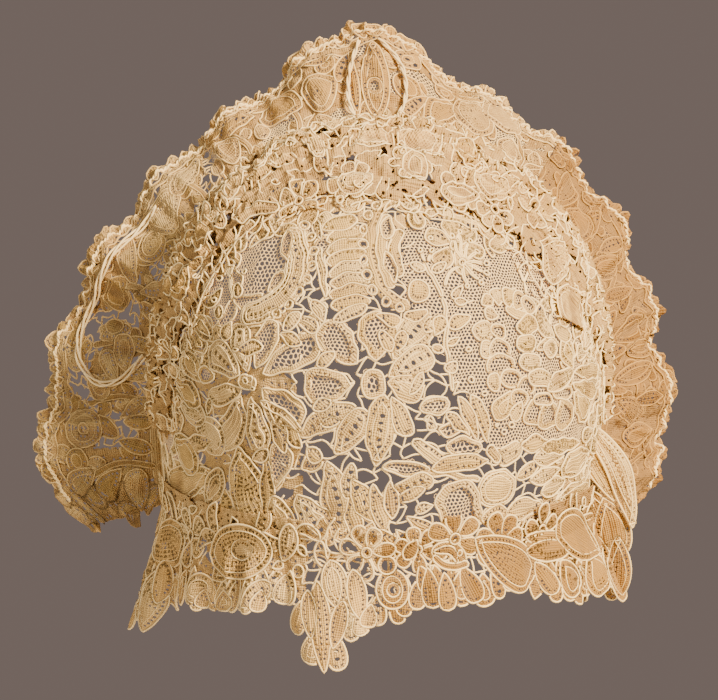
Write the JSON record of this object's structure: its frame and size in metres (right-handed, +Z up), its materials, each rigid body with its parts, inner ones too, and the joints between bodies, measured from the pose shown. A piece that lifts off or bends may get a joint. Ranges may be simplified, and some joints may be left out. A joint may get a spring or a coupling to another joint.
{
  "type": "lace bridal cap",
  "caption": "Close-fitting openwork lace cap with a ruched band, a standing halo frill round the face and a hanging flounce at the nape",
  "frame": {"origin": "where the top of the wearer's head meets the inside of the crown", "axes": "+Z up, +Y towards the wearer's face, +X to the right as the cap is seen from behind, as in the picture"},
  "size_m": [0.2546, 0.1723, 0.2301],
  "materials": {
    "lace_crown": "pale ecru linen and cotton lace, matt, yellowed with age",
    "lace_band": "bunched ecru lace, matt",
    "lace_halo": "ecru lace, browner along the edges and in the folds, matt",
    "lace_flounce": "ecru lace with amber age stains in the folds, matt",
    "edge_cord": "thread-wrapped cord, matt",
    "gathering_cord": "bundle of yellowed threads, matt",
    "loop_cord": "twisted yellowed thread, matt"
  },
  "bodies": {
    "root": {"crown": "lace_crown", "ruched_band": "lace_band", "halo_frill": "lace_halo", "nape_flounce": "lace_flounce", "halo_edge_cord": "edge_cord", "gathering_cord": "gathering_cord", "peak_loop": "loop_cord"}
  },
  "joints": []
}
